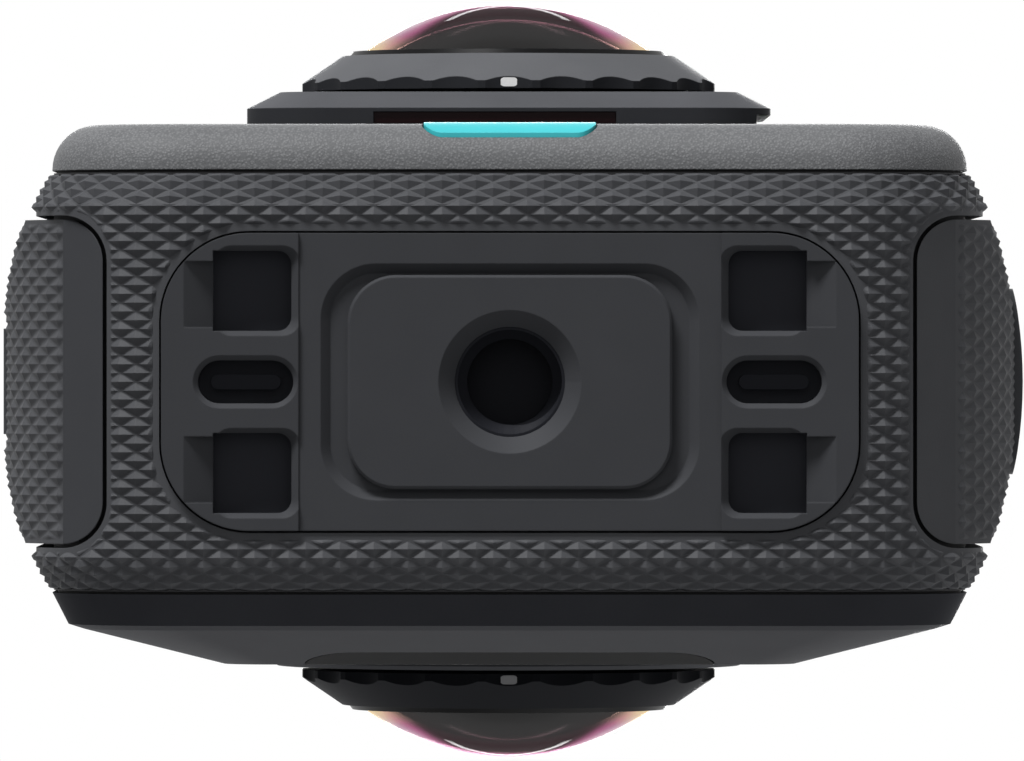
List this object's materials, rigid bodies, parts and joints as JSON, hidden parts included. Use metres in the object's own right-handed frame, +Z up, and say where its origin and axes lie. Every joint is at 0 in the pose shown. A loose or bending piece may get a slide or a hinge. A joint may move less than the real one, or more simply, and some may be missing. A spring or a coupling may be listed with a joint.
{
  "type": "360 degree camera",
  "caption": "Upright action camera with a domed fisheye lens on front and rear, a rubber grip band, a side door, buttons and a latch base with a tripod socket.",
  "frame": {"origin": "middle of the camera at the foot of its base pad", "axes": "+Z up, -Y towards the front lens, +X towards the power button"},
  "size_m": [0.064, 0.0488, 0.0697],
  "materials": {
    "grip_rubber": "matte moulded diamond grip",
    "seal_rubber": "matte black",
    "cover_plastic": "fine speckled grain",
    "rear_plastic": "fine satin grain",
    "panel_plastic": "satin moulded",
    "frame_plastic": "glass-filled, matte",
    "button_plastic": "satin",
    "mount_plastic": "fine matte grain",
    "ring_metal": "dark anodised, fine blasted",
    "mark_paint": "light inlaid mark",
    "bezel_plastic": "black gloss",
    "dome_glass": "clear dome, coated",
    "lens_glass": "coated optical glass",
    "barrel_metal": "matte black anodised",
    "board": "solder mask",
    "bare_aluminium": "bare, brushed",
    "steel": "turned steel",
    "dark_steel": "blackened steel",
    "contact_metal": "plated contacts",
    "battery_case": "plain matte case",
    "card_plastic": "plain matte",
    "screen_glass": "black glass",
    "display": "dark panel",
    "window_plastic": "dark tinted window",
    "accent_plastic": "plain teal"
  },
  "bodies": {
    "root": {"grip_band": "grip_rubber", "side_pad": "grip_rubber", "front_gasket": "seal_rubber", "rear_gasket": "seal_rubber", "front_cover": "cover_plastic", "rear_cover": "rear_plastic", "base_panel": "panel_plastic", "mid_frame": "frame_plastic", "front_lens_mount": "mount_plastic", "rear_lens_mount": "mount_plastic", "front_fisheye_element": "lens_glass", "rear_fisheye_element": "lens_glass", "front_inner_elements": "lens_glass", "rear_inner_elements": "lens_glass", "front_lens_barrel": "barrel_metal", "rear_lens_barrel": "barrel_metal", "front_sensor_board": "board", "rear_sensor_board": "board", "main_board": "board", "port_board": "board", "heat_spreader": "bare_aluminium", "tripod_insert": "dark_steel", "latch_plates": "dark_steel", "latch_magnets": "steel", "hinge_pin": "steel", "case_screws": "steel", "usb_socket": "steel", "card_socket": "steel", "battery_contacts": "contact_metal", "power_switch": "contact_metal", "shutter_switch": "contact_metal", "microphones": "contact_metal", "antenna": "contact_metal", "battery": "battery_case", "speaker": "frame_plastic", "screen_glass": "screen_glass", "display_module": "display", "signal_window": "window_plastic", "accent_strip": "accent_plastic"},
    "front_lens": {"front_lens_ring": "ring_metal", "front_index_mark": "mark_paint", "front_lens_bezel": "bezel_plastic", "front_dome": "dome_glass", "front_lens_seal": "seal_rubber"},
    "rear_lens": {"rear_lens_ring": "ring_metal", "rear_index_mark": "mark_paint", "rear_lens_bezel": "bezel_plastic", "rear_dome": "dome_glass", "rear_lens_seal": "seal_rubber"},
    "side_door": {"side_door": "panel_plastic", "door_skin": "grip_rubber", "door_seal": "seal_rubber"},
    "door_latch": {"door_latch": "panel_plastic"},
    "power_button": {"power_button": "grip_rubber"},
    "shutter_button": {"shutter_button": "button_plastic"},
    "memory_card": {"memory_card": "card_plastic"}
  },
  "joints": [
    {"name": "front_lens_twist", "type": "hinge", "parent": "root", "child": "front_lens", "pos_m": [0, -0.0187, 0.045], "axis": [0, -1, 0], "range_deg": [0, 45]},
    {"name": "rear_lens_twist", "type": "hinge", "parent": "root", "child": "rear_lens", "pos_m": [0, 0.0187, 0.045], "axis": [0, 1, 0], "range_deg": [0, 45]},
    {"name": "door_swing", "type": "hinge", "parent": "root", "child": "side_door", "pos_m": [-0.0296, 0, 0.0504], "axis": [0, 1, 0], "range_deg": [0, 105]},
    {"name": "latch_slide", "type": "slide", "parent": "side_door", "child": "door_latch", "axis": [0, 0, 1], "range_m": [0, 0.002], "stiffness_N_per_m": 200, "springref_m": -0.001},
    {"name": "power_press", "type": "slide", "parent": "root", "child": "power_button", "axis": [-1, 0, 0], "range_m": [0, 0.0005], "stiffness_N_per_m": 2000, "springref_m": -0.0002},
    {"name": "shutter_press", "type": "slide", "parent": "root", "child": "shutter_button", "axis": [0, 0, -1], "range_m": [0, 0.0006], "stiffness_N_per_m": 2500, "springref_m": -0.0002},
    {"name": "card_push", "type": "slide", "parent": "root", "child": "memory_card", "axis": [1, 0, 0], "range_m": [0, 0.0008], "stiffness_N_per_m": 1000, "springref_m": -0.0002}
  ]
}
